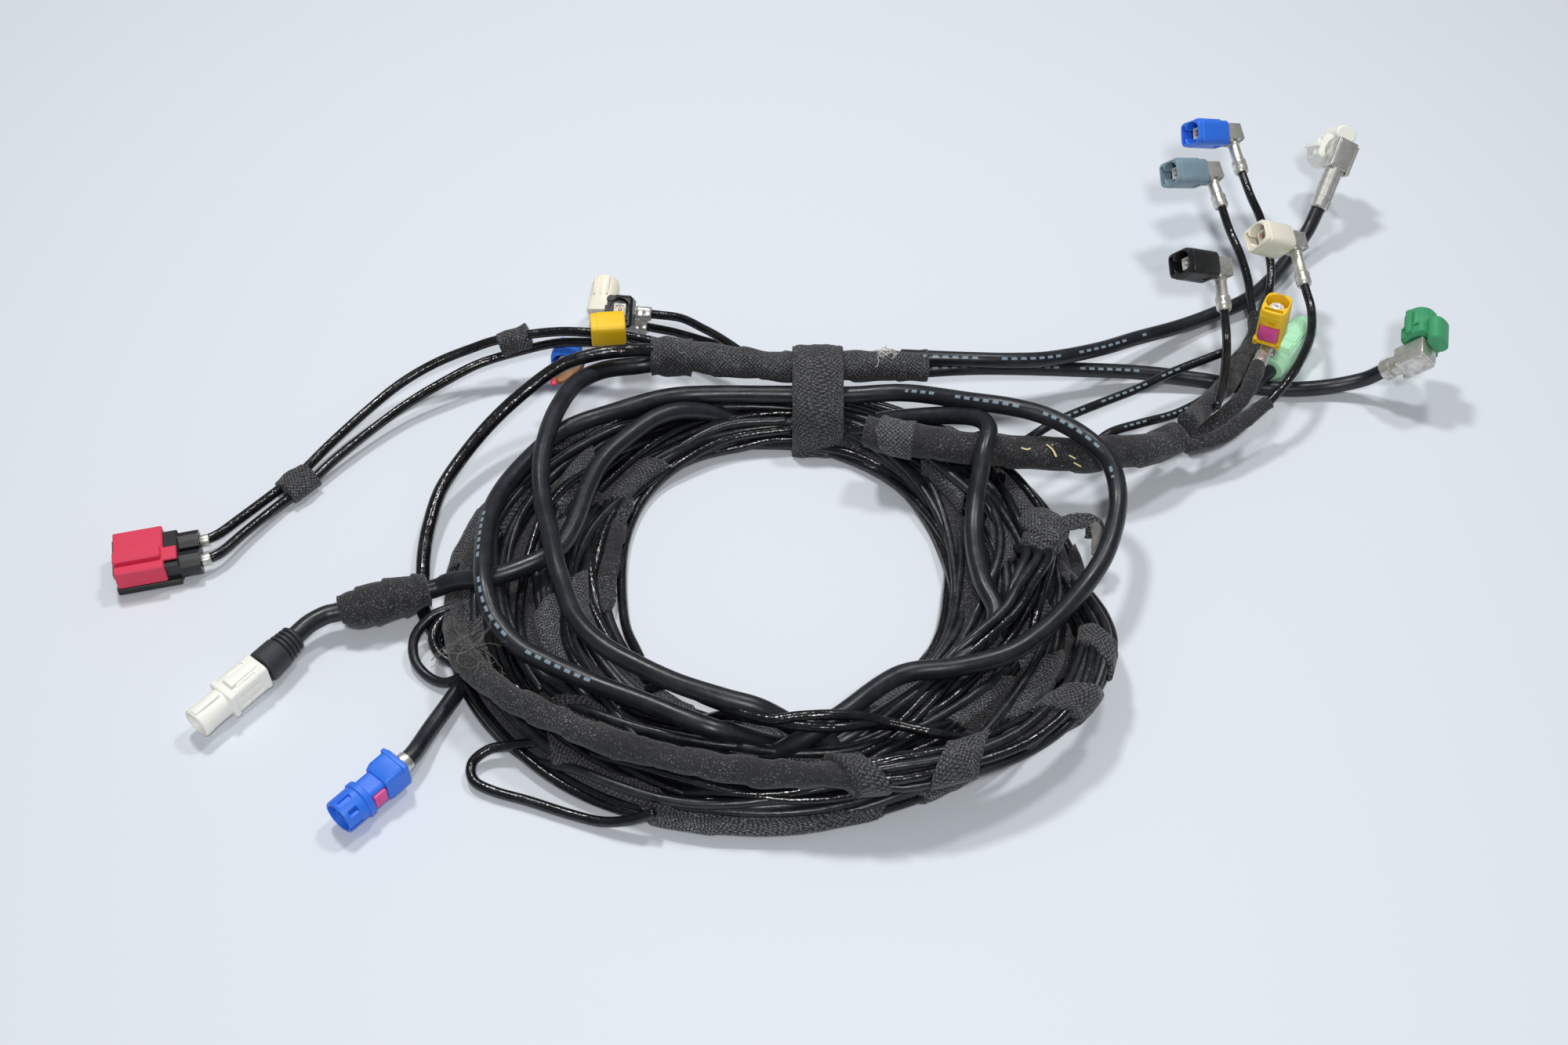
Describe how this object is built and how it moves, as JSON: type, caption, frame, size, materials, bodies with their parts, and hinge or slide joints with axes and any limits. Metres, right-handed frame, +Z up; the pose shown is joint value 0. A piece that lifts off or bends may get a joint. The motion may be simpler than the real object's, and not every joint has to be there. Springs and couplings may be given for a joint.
{
  "type": "vehicle wiring harness",
  "caption": "Coiled vehicle antenna and data harness: taped cables with coloured angled coax and data connectors spread around it.",
  "frame": {"origin": "centre of the tied coil's underside, on the surface it lies on", "axes": "+Z up out of the lying coil, +X towards the right-hand group of connectors, -Y towards the viewer of the picture"},
  "size_m": [0.4282, 0.2904, 0.0438],
  "materials": {
    "blue_plastic": "blue moulded plastic, satin",
    "grey_plastic": "grey-blue moulded plastic, satin",
    "black_plastic": "black moulded plastic, satin",
    "cream_plastic": "cream moulded plastic, satin",
    "yellow_plastic": "yellow moulded plastic, satin",
    "pink_plastic": "pink moulded plastic, satin",
    "mint_plastic": "pale mint moulded plastic, satin",
    "white_plastic": "white moulded plastic, satin",
    "green_plastic": "sea green moulded plastic, satin",
    "crimson_plastic": "crimson moulded plastic, satin",
    "tinned_metal": "tin-plated folded sheet, dull shine",
    "boot_rubber": "dark grey ribbed rubber",
    "cable_jacket": "black jacket, soft sheen",
    "coax_jacket": "thin black jacket, shiny",
    "cloth_tape": "black woven cloth tape",
    "fleece_wrap": "black fleece tape with pale specks"
  },
  "bodies": {
    "root": {"coil_bundle": "coax_jacket", "coil_strap": "cloth_tape", "cross_tape": "cloth_tape", "taped_trunk": "cloth_tape", "fleece_trunk": "fleece_wrap", "fleece_sleeve": "fleece_wrap", "sleeve_branch_a": "fleece_wrap", "sleeve_branch_b": "fleece_wrap", "sleeve_branch_c": "fleece_wrap", "outer_loop_cable": "cable_jacket", "left_loop_cable": "cable_jacket", "white_plug_cable": "cable_jacket", "inner_cable": "cable_jacket", "glossy_loop_cable": "coax_jacket", "white_plug_lead": "cable_jacket", "white_data_lead": "cable_jacket", "green_data_lead": "cable_jacket", "blue_data_lead": "cable_jacket", "mint_data_lead": "cable_jacket", "twin_lead_back": "coax_jacket", "twin_lead_front": "coax_jacket", "blue_lead": "coax_jacket", "grey_lead": "coax_jacket", "black_lead": "coax_jacket", "cream_lead": "coax_jacket", "torn_black_lead": "coax_jacket", "cream_back_lead": "coax_jacket", "printed_lead_1": "coax_jacket", "printed_lead_2": "coax_jacket", "fleece_roll": "fleece_wrap", "lead_tape": "cloth_tape", "blue_coax_housing": "blue_plastic", "grey_coax_housing": "grey_plastic", "black_coax_housing": "black_plastic", "cream_coax_housing": "cream_plastic", "yellow_coax_housing": "yellow_plastic", "yellow_coax_lock": "pink_plastic", "blue_coax_terminal": "tinned_metal", "grey_coax_terminal": "tinned_metal", "black_coax_terminal": "tinned_metal", "cream_coax_terminal": "tinned_metal", "yellow_coax_terminal": "tinned_metal", "white_data_housing": "white_plastic", "white_data_terminal": "tinned_metal", "green_data_housing": "green_plastic", "green_data_terminal": "tinned_metal", "mint_data_housing": "mint_plastic", "twin_body": "black_plastic", "twin_cover": "crimson_plastic", "white_plug_housing": "white_plastic", "white_plug_boot": "boot_rubber", "blue_data_housing": "blue_plastic", "blue_data_lock": "pink_plastic", "torn_black_housing": "black_plastic", "torn_black_terminal": "tinned_metal", "cream_back_housing": "cream_plastic", "cream_back_terminal": "tinned_metal", "yellow_back_housing": "yellow_plastic", "blue_back_housing": "blue_plastic"}
  },
  "joints": []
}
